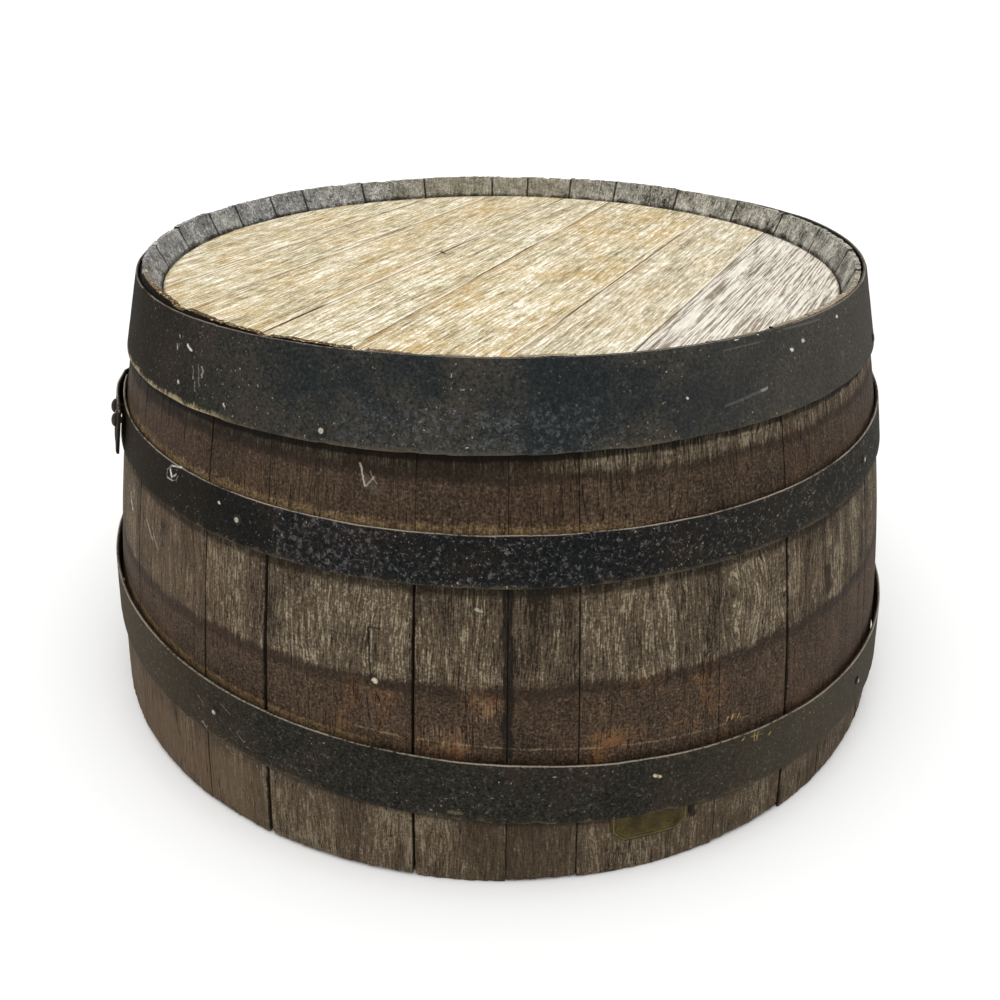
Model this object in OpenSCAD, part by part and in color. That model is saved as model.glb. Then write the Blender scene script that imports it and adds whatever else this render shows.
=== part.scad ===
// Half of a 225 litre oak wine barrel, sawn across just above the bilge.
// It stands on the sawn edge with its head up. Z = 0 is the sawn edge and Z runs up the barrel's axis.
// The front of the barrel faces -Y. Azimuths are counted from +X towards +Y.

/* [Barrel] */
// Height from the sawn edge to the ends of the staves
barrel_h = 353; // [330:1:380]
// Outer radius at the bilge, the widest ring of the whole barrel
bilge_r = 350; // [330:1:370]
// How far the bilge of the whole barrel would lie below the sawn edge
bilge_drop = 115; // [90:1:140]
// How much smaller the outer radius is 400 mm away from the bilge
bow_at_400 = 50.5; // [45:0.5:55]

/* [Staves] */
// Thickness of a stave in the body of the barrel
stave_t = 26; // [22:1:30]
// Thickness of a stave beside the head, where the howel is cut
chime_t = 18; // [16:1:20]
// Height of the howel, from the stave ends down to the full thickness
howel_h = 62; // [55:1:80]
// Width of the flat land left on the stave ends
land_w = 5; // [3:0.5:7]
// Gap at each joint between two staves
stave_gap = 0.3; // [0.1:0.1:1]
// Widths of the staves at the sawn edge, going round from the first joint
stave_widths = [106, 60, 112, 63, 48, 104, 65, 48, 82, 82, 72, 91, 78, 78, 91,
                88, 62, 58, 48, 92, 86, 86, 50, 59, 48, 69, 75, 85, 88];
// Azimuth of the first joint
first_joint = -145.5; // [-180:0.5:180]

/* [Head] */
// How far the head lies below the stave ends
head_recess = 19; // [15:0.5:25]
// Thickness of the head boards
head_t = 22; // [18:1:26]
// Depth of the croze, the groove that holds the edge of the head
croze_d = 7; // [5:0.5:8]
// Width of the croze
croze_w = 9.4; // [7:0.1:11]
// Direction of the joints between the head boards
board_angle = 63.6; // [0:0.1:180]
// Distance of each joint from the middle of the head, and how far it is out of parallel
board_joints = [[-170, 0.4], [-104, 0.6], [-2, 1.8], [58, -0.3], [135, -0.8], [188, -0.9]];
// Gap at each joint between two boards
board_gap = 0.4; // [0.2:0.1:1]
// Diameter of the oak dowels that hold the boards together
dowel_d = 8; // [6:1:10]
// Length of the dowels
dowel_l = 38; // [30:1:40]

/* [Hoops] */
// Thickness of the hoop strip
hoop_t = 2; // [1.5:0.1:2.5]
// Width of the chime hoop
chime_hoop_w = 55.5; // [50:0.5:60]
// Height of the middle of the chime hoop
chime_hoop_z = 322; // [318:0.5:325]
// Width of the quarter hoop
quarter_hoop_w = 33; // [30:0.5:38]
// Height of the middle of the quarter hoop
quarter_hoop_z = 241.5; // [230:0.5:250]
// Width of the bilge hoop
bilge_hoop_w = 46; // [40:0.5:50]
// Height of the middle of the bilge hoop
bilge_hoop_z = 78; // [70:0.5:85]
// How far each hoop sits askew, turned about X and about Y
chime_hoop_tilt = [-0.9, -0.85];
quarter_hoop_tilt = [1, 0];
bilge_hoop_tilt = [0, 3.6];
// Azimuth where each strip begins under its own lap
chime_hoop_lap = 107; // [-180:1:180]
quarter_hoop_lap = -168; // [-180:1:180]
bilge_hoop_lap = 79; // [-180:1:180]
// Length of the lap along the hoop
lap_l = 80; // [70:1:90]

/* [Fasteners] */
// Diameter of the rivet heads
rivet_head_d = 11; // [8:0.5:13]
// Diameter of the rivet shanks
rivet_d = 5; // [4:0.5:6]
// Height of the domed rivet heads
rivet_head_h = 3.2; // [2:0.2:4]
// Diameter of the nail heads
nail_head_d = 7; // [5:0.5:9]
// Diameter of the nail shanks
nail_d = 2.8; // [2:0.1:3.5]
// Length of the nail shanks
nail_l = 20; // [15:1:22]
// Distance from the inner end of a hoop's lap to its first rivet
rivet_inset = 28; // [24:1:32]
// Distance between the two rivets of a lap
rivet_pitch = 27; // [25:1:30]
// How far the nails sit below the middle line of the chime, quarter and bilge hoops
nail_drops = [21, 0, 0]; // [0:1:22]
// Azimuths of the nails in each hoop
chime_hoop_nails_at = [-110.8, -22, 63, 152];
quarter_hoop_nails_at = [-122, -34, 58, 140];
bilge_hoop_nails_at = [-125.3, -36, 52, 147];

/* [Plate] */
// Width of the brass plate round the barrel
plate_w = 57; // [50:1:65]
// Height of the brass plate
plate_h = 40; // [34:1:46]
// Thickness of the brass plate
plate_t = 0.8; // [0.5:0.1:0.9]
// Size of the clipped corners of the plate
plate_clip = 10; // [4:1:12]
// Height of the middle of the plate
plate_z = 48; // [44:1:56]
// Azimuth of the middle of the plate
plate_at = -72.5; // [-90:0.5:-60]

/* [Hidden] */
$fn = 180;
stave_count = len(stave_widths);
board_count = len(board_joints) + 1;
circle_sum = total(stave_widths, stave_count);
profile_steps = 12;
profile_z = [for (k = [0 : profile_steps]) barrel_h * k / profile_steps];
fit_gap = 0.3;
bilge_hoop_gap = 1.2;
head_z = barrel_h - head_recess;
head_chamfer = 1.5;
tongue_gap = 0.2;
tongue_drop = 4;
tongue_top = head_z - tongue_drop;
croze_top = tongue_top + tongue_gap;
croze_bottom = croze_top - croze_w;
croze_end_gap = 0.6;
head_face_gap = 0.5;
head_r = barrel_r(croze_top) - chime_t + croze_d - croze_end_gap;
head_face_r = barrel_r(head_z) - chime_t - head_face_gap;
head_bevel = 14;
dowel_gap = 0.05;
dowel_end_gap = 1;
dowel_z = head_z - head_t / 2;
// Places of the two dowels along every first and every second joint
dowels_at = [[-90, 90], [-115, 115]];
lap_gap = 0.6;
slit_l = 6;
jog_l = 8;
wide = 3 * bilge_r;
margin = 1;
drill_l = 12;
hole_gap = 0.1;
seat_gap = 0.2;
nail_head_h = 1.6;
shank_r = nail_d / 2;

function stave_name(i) = str("stave_", i < 10 ? "0" : "", i);
function board_name(i) = str("head_board_", i);

// Sum of the first n values of a list
function total(values, n) = n == 0 ? 0 : values[n - 1] + total(values, n - 1);

// Outer radius of the barrel and how steeply its side leans in, both at height z
function barrel_r(z) = bilge_r - bow_at_400 * pow((z + bilge_drop) / 400, 2);
function lean(z) = atan(2 * bow_at_400 * (z + bilge_drop) / pow(400, 2));

// Angle that a length takes up on the barrel at height z
function arc(l, z) = l / barrel_r(z) * 180 / PI;

// Azimuth of the joint before stave i, counting from 1
function joint_at(i) = first_joint + 360 * total(stave_widths, i - 1) / circle_sum;

// Cross-section of a stave: bowed outside, bevelled chime, croze groove, howel, bowed inside
function stave_profile() = concat(
    [for (z = profile_z) [barrel_r(z), z]],
    [[barrel_r(barrel_h) - land_w, barrel_h],
     [barrel_r(head_z) - chime_t, head_z],
     [barrel_r(croze_top) - chime_t, croze_top],
     [barrel_r(croze_top) - chime_t + croze_d, croze_top],
     [barrel_r(croze_top) - chime_t + croze_d, croze_bottom],
     [barrel_r(croze_bottom) - chime_t, croze_bottom],
     [barrel_r(barrel_h - howel_h) - stave_t, barrel_h - howel_h]],
    [for (k = [profile_steps - 3 : -1 : 0]) [barrel_r(profile_z[k]) - stave_t, profile_z[k]]]);

// Cross-section of the head: flat faces, with a tongue left at mid-thickness by the two bevels
head_profile = [
    [0, head_z - head_t],
    [head_r - head_bevel, head_z - head_t],
    [head_r - croze_d, croze_bottom + tongue_gap],
    [head_r, croze_bottom + tongue_gap],
    [head_r, tongue_top],
    [head_face_r, tongue_top],
    [head_face_r, head_z - head_chamfer],
    [head_face_r - head_chamfer, head_z],
    [0, head_z]];

// A skin parallel to the outside of the barrel, from azimuth 0 through an angle
module skin(gap, thick, sweep) {
    rotate_extrude(angle = sweep)
        polygon(concat([for (z = profile_z) [barrel_r(z) + gap + thick, z]],
                       [for (k = [profile_steps : -1 : 0]) [barrel_r(profile_z[k]) + gap, profile_z[k]]]));
}

// A conical band that touches the barrel's side at height z and reaches a distance above and below it,
// between two distances out from the side, from one azimuth through an angle
module band(z, reach, low, high, start, sweep) {
    top = min(z + reach, barrel_h);
    rotate([0, 0, start])
        rotate_extrude(angle = sweep)
            translate([barrel_r(z), 0])
                polygon([[low + reach * tan(lean(z)), z - reach], [high + reach * tan(lean(z)), z - reach],
                         [high - (top - z) * tan(lean(z)), top], [low - (top - z) * tan(lean(z)), top]]);
}

// Puts a piece on the barrel at an azimuth and height, with its Z square to the surface
module on_barrel(azimuth, z, out) {
    rotate([0, 0, azimuth])
        translate([barrel_r(z) + out, 0, z])
            rotate([0, 90 - lean(z), 0])
                children();
}

// Height of a hoop's middle at an azimuth, with the hoop's tilt
function tilted_z(z, tilt, azimuth) =
    z + barrel_r(z) * (sin(tilt[0]) * sin(azimuth) - sin(tilt[1]) * cos(azimuth));

// Azimuths of the two rivets in a hoop's lap
function rivets_at(lap, z) = [lap + arc(rivet_inset, z), lap + arc(rivet_inset + rivet_pitch, z)];

// Clearance holes for nails or rivets, right through a hoop, at a distance below its middle line
module holes(azimuths, z, tilt, d, drop) {
    for (a = azimuths)
        on_barrel(a, tilted_z(z, tilt, a) - drop, -margin)
            cylinder(h = drill_l, d = d + 2 * hole_gap);
}

// A hoop: one strip that goes once round and then steps out over its own start.
// It is a ring of double thickness, less its outer layer away from the lap, and less the gap inside the lap.
module hoop(z, w, tilt, gap, lap, nails, nail_drop) {
    reach = w / 2 + barrel_r(z) * sin(norm(tilt)) + margin;
    mid = gap + hoop_t;
    outside = mid + lap_gap + hoop_t;
    slit = arc(slit_l, z);
    jog = arc(jog_l, z);
    covered = arc(lap_l, z);
    difference() {
        intersection() {
            band(z, reach, gap, outside, 0, 360);
            translate([0, 0, z])
                rotate([tilt[0], tilt[1], 0])
                    cube([wide, wide, w], center = true);
        }
        band(z, reach + margin, mid, outside + margin, lap + covered, 360 - covered - slit - jog);
        band(z, reach + margin, mid, mid + lap_gap, lap - slit, slit + covered + margin);
        band(z, reach + margin, gap - margin, mid + lap_gap / 2, lap - slit, slit);
        holes(rivets_at(lap, z), z, tilt, rivet_d, 0);
        holes(nails, z, tilt, nail_d, nail_drop);
    }
}

// Two rivets through both layers of a lap, domed outside and flush inside
module rivets(z, tilt, gap, lap) {
    head_out = gap + 2 * hoop_t + lap_gap + hole_gap;
    dome_r = (pow(rivet_head_d / 2, 2) + pow(rivet_head_h, 2)) / (2 * rivet_head_h);
    for (a = rivets_at(lap, z))
        on_barrel(a, tilted_z(z, tilt, a), head_out) {
            translate([0, 0, gap / 2 - head_out])
                cylinder(h = head_out - gap / 2, d = rivet_d);
            intersection() {
                translate([0, 0, rivet_head_h - dome_r])
                    sphere(r = dome_r);
                cylinder(h = rivet_head_h, d = rivet_head_d);
            }
        }
}

// One nail with its shank pointing down and a domed head above Z = 0
module nail() {
    translate([0, 0, -nail_l])
        cylinder(h = nail_l, d = nail_d);
    cylinder(h = nail_head_h / 2, d = nail_head_d);
    translate([0, 0, nail_head_h / 2])
        cylinder(h = nail_head_h / 2, d1 = nail_head_d, d2 = nail_head_d * 0.6);
}

// The nails that keep a hoop from creeping up the barrel
module hoop_nails(z, tilt, gap, azimuths, drop) {
    for (a = azimuths)
        on_barrel(a, tilted_z(z, tilt, a) - drop, gap + hoop_t + seat_gap)
            nail();
}

// Holes in the staves for the nails of one hoop
module nail_holes(z, tilt, gap, azimuths, drop) {
    for (a = azimuths)
        on_barrel(a, tilted_z(z, tilt, a) - drop, gap + hoop_t - nail_l - margin)
            cylinder(h = nail_l + 4 * margin, d = nail_d + 2 * hole_gap);
}

module stave(i) {
    half_gap = arc(stave_gap / 2, 0);
    start = joint_at(i) + half_gap;
    sweep = joint_at(i + 1) - joint_at(i) - 2 * half_gap;
    color(i % 3 == 0 ? "#6f6452" : i % 3 == 1 ? "#7d725e" : "#665a49")
        difference() {
            rotate([0, 0, start])
                rotate_extrude(angle = sweep)
                    polygon(stave_profile());
            nail_holes(chime_hoop_z, chime_hoop_tilt, fit_gap, chime_hoop_nails_at, nail_drops[0]);
            nail_holes(quarter_hoop_z, quarter_hoop_tilt, fit_gap, quarter_hoop_nails_at, nail_drops[1]);
            nail_holes(bilge_hoop_z, bilge_hoop_tilt, bilge_hoop_gap, bilge_hoop_nails_at, nail_drops[2]);
        }
}

// Distance of joint j from the middle of the head, at a place x along it
function joint_y(j, x) = board_joints[j][0] + x * tan(board_joints[j][1]);

// Two corners of a board's outline on joint j; beyond the last joints the board runs to the rim
function joint_edge(j, side, x) =
    j < 0 ? [x, -bilge_r] :
    j >= len(board_joints) ? [x, bilge_r] :
    [x, joint_y(j, x) + side * board_gap / 2];

module head_board(i) {
    color(i < 3 ? "#b5a98c" : "#cdbb90")
        difference() {
            rotate([0, 0, board_angle])
                intersection() {
                    rotate_extrude()
                        polygon(head_profile);
                    linear_extrude(barrel_h)
                        polygon([joint_edge(i - 2, 1, -bilge_r), joint_edge(i - 2, 1, bilge_r),
                                 joint_edge(i - 1, -1, bilge_r), joint_edge(i - 1, -1, -bilge_r)]);
                }
            dowels(dowel_gap, dowel_end_gap);
        }
}

// The dowels, two to a joint, made larger by the gaps when they are used as holes
module dowels(gap, end_gap) {
    rotate([0, 0, board_angle])
        for (j = [0 : len(board_joints) - 1])
            for (x = dowels_at[j % 2])
                translate([x, joint_y(j, x), dowel_z])
                    rotate([90, 0, 0])
                        cylinder(h = dowel_l + 2 * end_gap, d = dowel_d + 2 * gap, center = true);
}

module head_dowels() {
    color("#c9b07a")
        dowels(0, 0);
}

module chime_hoop() {
    color("#262624")
        hoop(chime_hoop_z, chime_hoop_w, chime_hoop_tilt, fit_gap,
             chime_hoop_lap, chime_hoop_nails_at, nail_drops[0]);
}

module quarter_hoop() {
    color("#2d2d26")
        hoop(quarter_hoop_z, quarter_hoop_w, quarter_hoop_tilt, fit_gap,
             quarter_hoop_lap, quarter_hoop_nails_at, nail_drops[1]);
}

module bilge_hoop() {
    color("#24261f")
        hoop(bilge_hoop_z, bilge_hoop_w, bilge_hoop_tilt, bilge_hoop_gap,
             bilge_hoop_lap, bilge_hoop_nails_at, nail_drops[2]);
}

module chime_hoop_rivets() {
    color("#3a3835")
        rivets(chime_hoop_z, chime_hoop_tilt, fit_gap, chime_hoop_lap);
}

module quarter_hoop_rivets() {
    color("#3a3835")
        rivets(quarter_hoop_z, quarter_hoop_tilt, fit_gap, quarter_hoop_lap);
}

module bilge_hoop_rivets() {
    color("#3a3835")
        rivets(bilge_hoop_z, bilge_hoop_tilt, bilge_hoop_gap, bilge_hoop_lap);
}

module chime_hoop_nails() {
    color("#8d8a84")
        hoop_nails(chime_hoop_z, chime_hoop_tilt, fit_gap, chime_hoop_nails_at, nail_drops[0]);
}

module quarter_hoop_nails() {
    color("#8d8a84")
        hoop_nails(quarter_hoop_z, quarter_hoop_tilt, fit_gap, quarter_hoop_nails_at, nail_drops[1]);
}

module bilge_hoop_nails() {
    color("#8d8a84")
        hoop_nails(bilge_hoop_z, bilge_hoop_tilt, bilge_hoop_gap, bilge_hoop_nails_at, nail_drops[2]);
}

// A blank plate with clipped corners, held on the staves by the bilge hoop that covers its upper half
module brass_plate() {
    half_w = plate_w / 2;
    half_h = plate_h / 2;
    sweep = 2 * arc(plate_w, plate_z);
    color("#8a7a3c")
        intersection() {
            rotate([0, 0, plate_at - sweep / 2])
                skin(fit_gap / 2, plate_t, sweep);
            rotate([0, 0, plate_at])
                translate([0, 0, plate_z])
                    rotate([90, 0, 90])
                        linear_extrude(bilge_r * 2)
                            polygon([[-half_w, plate_clip - half_h], [plate_clip - half_w, -half_h],
                                     [half_w - plate_clip, -half_h], [half_w, plate_clip - half_h],
                                     [half_w, half_h - plate_clip], [half_w - plate_clip, half_h],
                                     [plate_clip - half_w, half_h], [-half_w, half_h - plate_clip]]);
        }
}

for (i = [1 : stave_count]) stave(i);
for (i = [1 : board_count]) head_board(i);
head_dowels();
chime_hoop();
quarter_hoop();
bilge_hoop();
chime_hoop_rivets();
quarter_hoop_rivets();
bilge_hoop_rivets();
chime_hoop_nails();
quarter_hoop_nails();
bilge_hoop_nails();
brass_plate();
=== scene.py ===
"""The looks of half a wine barrel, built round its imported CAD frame.

Lengths are in millimetres and angles in degrees; build() turns the lengths into metres.
Azimuths are counted from +X towards +Y, so the front of the barrel, which faces -Y, is at -90.
"""
import math
from collections import namedtuple

import bmesh
import bpy
import numpy as np
from mathutils import Matrix, Vector


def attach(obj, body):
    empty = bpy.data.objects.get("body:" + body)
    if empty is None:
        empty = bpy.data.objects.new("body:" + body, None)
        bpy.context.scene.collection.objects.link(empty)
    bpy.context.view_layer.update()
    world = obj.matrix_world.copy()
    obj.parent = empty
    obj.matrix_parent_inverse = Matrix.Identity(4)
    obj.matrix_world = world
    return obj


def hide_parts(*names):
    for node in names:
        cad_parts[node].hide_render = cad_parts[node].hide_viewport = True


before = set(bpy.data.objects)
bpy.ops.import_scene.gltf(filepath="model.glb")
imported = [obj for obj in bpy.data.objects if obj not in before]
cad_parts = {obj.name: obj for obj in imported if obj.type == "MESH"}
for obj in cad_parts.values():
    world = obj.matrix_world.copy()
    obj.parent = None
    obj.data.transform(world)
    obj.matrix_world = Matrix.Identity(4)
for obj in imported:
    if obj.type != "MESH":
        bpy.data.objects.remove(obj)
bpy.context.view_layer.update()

MM = 0.001

# ---------------- the barrel's sizes, as in the CAD model
# The bilge, where the barrel is widest, would lie a drop below the sawn edge. The side is a
# parabola that has come in by the bow 400 above the bilge.
BARREL_H = 353
BILGE_R = 350
BILGE_DROP = 115
BOW_AT_400 = 50.5
STAVE_T = 26
CHIME_T = 18
HOWEL_H = 62
LAND_W = 5
STAVE_WIDTHS = [106, 60, 112, 63, 48, 104, 65, 48, 82, 82, 72, 91, 78, 78, 91,
                88, 62, 58, 48, 92, 86, 86, 50, 59, 48, 69, 75, 85, 88]
FIRST_JOINT = -145.5
HEAD_Z = BARREL_H - 19
HEAD_T = 22
CROZE_D = 7
CROZE_W = 9.4
TONGUE_TOP = HEAD_Z - 4
CROZE_TOP = TONGUE_TOP + 0.2
CROZE_BOTTOM = CROZE_TOP - CROZE_W
HEAD_BEVEL = 14
BOARD_ANGLE = 63.6
# The joints between the head boards: how far each lies from the middle, and its turn
BOARD_JOINTS = [(-170, 0.4), (-104, 0.6), (-2, 1.8), (58, -0.3), (135, -0.8), (188, -0.9)]
HOOP_T = 2
LAP_GAP = 0.6
LAP_L = 80
SLIT_L = 6
JOG_L = 8
RIVET_INSET = 28
RIVET_PITCH = 27
PLATE_W = 57
PLATE_H = 40
PLATE_T = 0.8
PLATE_CLIP = 10
PLATE_Z = 48
PLATE_AT = -72.5

# Tilt is in degrees about X and Y, and lap and nails_at are azimuths
Hoop = namedtuple("Hoop", "name z width tilt gap lap nails_at nail_drop flare rough_edge lifted_end")
CHIME = Hoop("chime_hoop", 322, 55.5, (-0.9, -0.85), 0.3, 107, (-110.8, -22, 63, 152), 21, 0, 0.5, 0)
QUARTER = Hoop("quarter_hoop", 241.5, 33, (1, 0), 0.3, -168, (-122, -34, 58, 140), 0, 0.4, 0.5, 3.5)
BILGE = Hoop("bilge_hoop", 78, 46, (0, 3.6), 1.2, 79, (-125.3, -36, 52, 147), 0, 1.6, 1.5, 0)
HOOPS = (CHIME, QUARTER, BILGE)

# ---------------- wear that is seen on this barrel
HAIRLINE = 0.3
# How far some joints have opened, by the number of the stave that comes after the joint
OPEN_JOINTS = {3: 2.4, 4: 1.6, 8: 1.5, 10: 1.8, 16: 1.4, 23: 2.0}
# Lightness, redness and waviness of the grain of each stave, from 0 to 1
STAVE_TONES = {1: (0.35, 0.6, 0.3), 2: (0.45, 0.5, 0.2), 3: (0.6, 0.3, 0.3), 4: (0.3, 0.2, 0.1),
               5: (0.15, 0.3, 0.1), 6: (0.5, 0.15, 0.35), 7: (0.65, 0.3, 1.0), 8: (0.35, 0.5, 0.3),
               9: (0.45, 0.4, 0.2)}
# Lightness, warmth and depth of the ridges of each head board, from 0 to 1
BOARD_TONES = [(0.35, 0.1, 1.0), (0.75, 0.35, 0.5), (0.75, 0.55, 0.25), (0.8, 0.3, 0.15),
               (0.7, 0.5, 0.2), (0.75, 0.4, 0.3), (0.75, 0.5, 0.25)]
# Scratches, stains and flecks on the staves: azimuth and height of both ends, width, colour, strength
MARKS = [
    (-106.1, 288, -105.4, 275, 0.8, "#c3bdb2", 0.7), (-105.3, 275, -104.4, 281, 0.7, "#a9a297", 0.6),
    (-104.9, 284, -104.0, 277, 0.6, "#a9a297", 0.45), (-105.4, 279, -104.2, 273, 4.5, "#8f877b", 0.1),
    (-104.7, 187, -104.3, 152, 1.0, "#17110b", 0.95), (-104.7, 187, -103.2, 187, 0.8, "#17110b", 0.7),
    (-103.9, 151, -103.8, 150.6, 2.3, "#d8cfae", 0.9), (-92.6, 205, -91.9, 203.5, 1.3, "#b5b1a2", 0.7),
    (-142.8, 195, -140.8, 184, 1.0, "#b3ab9f", 0.7), (-141.0, 193, -139.2, 180, 0.7, "#a79f93", 0.6),
    (-150.5, 198, -149.4, 187, 1.2, "#d8d2c4", 0.8), (-144.0, 224, -141.0, 223, 0.9, "#c4b892", 0.6),
    (-44.6, 178, -44.4, 164, 7.0, "#231b15", 0.8), (-85.8, 152, -85.4, 140, 8.0, "#2b241c", 0.3),
    (-62.6, 102, -62.4, 105, 0.8, "#c1a676", 0.8), (-61.9, 102, -61.7, 105, 0.8, "#b0935f", 0.8),
    (-61.1, 101, -60.8, 104, 0.8, "#b0935f", 0.7), (-67.3, 44, -66.9, 35, 4.0, "#0f0b07", 0.85)]
# The same on the hoops, with heights from the hoop's middle; the palest dots and dashes are painted
# glints on scratches
HOOP_MARKS_AND_GLINTS = {
    "chime_hoop": [
        (-133.8, 10.5, -132.9, 8, 1.2, "#d6d3c8", 0.9), (-136.0, 14, -135.9, 13, 1.2, "#b5b1a5", 0.7),
        (-132.1, -2, -131.8, -9, 0.9, "#a09d95", 0.6), (-131.0, 1, -130.7, -13, 0.6, "#8a877f", 0.6),
        (-130.2, 0, -130.0, -6, 0.9, "#a09d95", 0.6), (-131.5, -11, -131.3, -17, 0.7, "#8a877f", 0.6),
        (-136.3, 8, -136.4, 5, 1.0, "#b5b1a5", 0.7), (-135.2, -15, -135.1, -16.5, 1.1, "#c9c6bb", 0.9),
        (-125.4, -18.5, -125.3, -19.5, 1.1, "#c9c6bb", 0.8), (-62.5, 20, -56, 20.4, 0.7, "#8b8882", 0.2),
        (-52.3, 24, -44.4, 22, 0.8, "#8b8882", 0.2), (-62.6, -13.5, -56, -9, 1.2, "#6c6b6e", 0.35),
        (-57, -9.8, -56, -9, 1.3, "#9a999a", 0.5), (-38.6, -7, -38.8, -13, 1.5, "#6b5638", 0.6),
        (-68, -4, -67.9, -4.6, 1.0, "#c9c6bb", 0.9), (-60.6, 25.6, -60.3, 25.4, 1.2, "#d6d3c8", 0.9),
        (-56.9, 26.2, -56.7, 26, 1.2, "#c9c6bb", 0.9), (-51.1, 10, -51, 9, 1.3, "#d6d3c8", 0.9),
        (-39.6, 18.6, -39.4, 18, 1.3, "#d6d3c8", 0.9), (-48.7, 13.4, -48.6, 12.6, 1.2, "#c9c6bb", 0.9)],
    "quarter_hoop": [
        (-132.9, 17, -135.0, 14.5, 0.8, "#c9c8bf", 0.9), (-135.0, 14.5, -136.3, 9.5, 0.7, "#8f8e85", 0.6),
        (-136.3, 9.5, -136.0, 3.6, 0.6, "#8f8e85", 0.5), (-136.0, 3.6, -134.6, 4, 0.7, "#a9a89e", 0.8),
        (-134.6, 4, -133.4, 9.5, 0.6, "#8d8b82", 0.5), (-135.4, 10.5, -135.0, 6, 1.1, "#dcdad2", 0.9),
        (-134.9, 7, -134.0, 10, 0.8, "#b5b3aa", 0.8), (-125.2, 6.6, -125.1, 6, 1.1, "#c9c6bb", 0.9)],
    "bilge_hoop": [
        (-61.0, 19, -60.7, 21, 1.0, "#a58f50", 0.8), (-59.0, 22, -59.2, 15, 0.8, "#a08b50", 0.7),
        (-58.5, 21, -58.7, 14.5, 0.7, "#a08b50", 0.7), (-59.7, 19.5, -57.9, 17.7, 0.6, "#8f7b48", 0.6),
        (-56.8, 14, -56.6, 16, 0.9, "#a58f50", 0.7), (-72.6, 9, -71.8, 7, 1.6, "#cfc0a0", 0.9),
        (-95.2, -18, -94.0, -17, 2.0, "#6f654f", 0.6), (-121.9, -7, -120.9, -12, 0.7, "#8d8878", 0.6),
        (-128.3, 4, -127.4, -3, 0.6, "#7d786a", 0.6), (-124.2, 10, -122.8, 6, 0.6, "#7d786a", 0.5),
        (-127.9, -17, -127.2, -20, 0.8, "#8d8878", 0.6)]}
# Dark dents in the head: places of their ends, width, strength
HEAD_MARKS = [((-52, 30), (-48, 24), 2.2, 0.9)]
# A span of azimuths that lies outside the circle
NOWHERE = (400, 401)

# ---------------- light and camera
# Light strengths, the distances from the barrel over which the floor starts to glow, and the
# sizes and places in metres of the floor, the lamps and the camera
SKY = 0.6
FLOOR_GLOW = 0.5
GLOW_RISES = (500, 3000)
FLOOR_HALF = 80.0
LAMPS_AIM = (0, 0, 0.2)
SOFT_BOXES = [("overhead", (0.0, -0.3, 2.6), 2.6, 55), ("front_fill", (-0.6, -2.6, 1.3), 1.6, 5)]
CAMERA_PLACE = (0, -0.8001, 0.5432)
CAMERA_PITCH = 28.51
CAMERA_ROLL = 0.433
LENS = 34.94
SENSOR_W = 36


# ---------------- shape functions
def barrel_r(z):
    """Outer radius of the barrel at height z."""
    return BILGE_R - BOW_AT_400 * ((z + BILGE_DROP) / 400) ** 2


def lean(z):
    """How steeply the side of the barrel leans in at height z, in radians."""
    return np.arctan(2 * BOW_AT_400 * (z + BILGE_DROP) / 400 ** 2)


def joint_at(number):
    """Azimuth of the joint before a stave, counting from 1."""
    return FIRST_JOINT + 360 * sum(STAVE_WIDTHS[:number - 1]) / sum(STAVE_WIDTHS)


def arc(length, z):
    """Angle that a length takes up on the barrel at height z, in degrees."""
    return np.degrees(length / barrel_r(z))


def lattice(ix, iy, seed):
    """A fixed random number from 0 to 1 for each whole-numbered place."""
    mask = 0xFFFFFFFF
    h = (ix * 73856093 ^ iy * 19349663 ^ (seed + 1) * 83492791) & mask
    h = (h ^ (h >> 15)) * 2246822519 & mask
    h = (h ^ (h >> 13)) * 3266489917 & mask
    return ((h ^ (h >> 16)) & mask) / mask


def noise(x, y, seed):
    """Smooth noise from -1 to 1, about one unit from bump to bump."""
    x, y = np.broadcast_arrays(np.asarray(x, float), np.asarray(y, float))
    ix, iy = np.floor(x).astype(np.int64), np.floor(y).astype(np.int64)
    fx, fy = x - ix, y - iy
    fx, fy = fx * fx * (3 - 2 * fx), fy * fy * (3 - 2 * fy)
    low = lattice(ix, iy, seed) * (1 - fx) + lattice(ix + 1, iy, seed) * fx
    high = lattice(ix, iy + 1, seed) * (1 - fx) + lattice(ix + 1, iy + 1, seed) * fx
    return 2 * (low * (1 - fy) + high * fy) - 1


def rounding(distance, radius):
    """How far a rounded edge lies below its face, at a distance from the edge."""
    inside = np.clip(radius - distance, 0, radius)
    return radius - np.sqrt(radius ** 2 - inside ** 2)


def spaced(width, step):
    """Places across a width: a step apart, and closer together beside both ends."""
    edge = [0, 0.3, 0.8, 1.6]
    middle = np.linspace(edge[-1] + step / 2, width - edge[-1] - step / 2, max(2, int(width / step) - 2))
    return np.array(edge + list(middle) + [width - e for e in reversed(edge)])


def stacked(*parts):
    """The parts side by side along a last axis, all at the size of the largest."""
    return np.stack(np.broadcast_arrays(*parts), -1)


def blend(low, high, share):
    return low + (high - low) * share


def step_up(value, low, high):
    """Rises smoothly from 0 at low to 1 at high."""
    t = np.clip((value - low) / (high - low), 0, 1)
    return t * t * (3 - 2 * t)


def polar(radius, azimuth, z):
    a = np.radians(azimuth)
    return stacked(radius * np.cos(a), radius * np.sin(a), z)


# ---------------- mesh building
SHARP_ANGLE = 50


def swept_faces(rows, cols, closed_rows=True, first=0):
    """Quads of a grid of points, rows x cols; its rows close into a ring unless closed_rows is off."""
    k, c = np.meshgrid(np.arange(rows if closed_rows else rows - 1), np.arange(cols - 1), indexing="ij")
    n = (k + 1) % rows
    quads = np.stack([k * cols + c, n * cols + c, n * cols + c + 1, k * cols + c + 1], -1)
    return (quads.reshape(-1, 4) + first).tolist()


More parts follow.
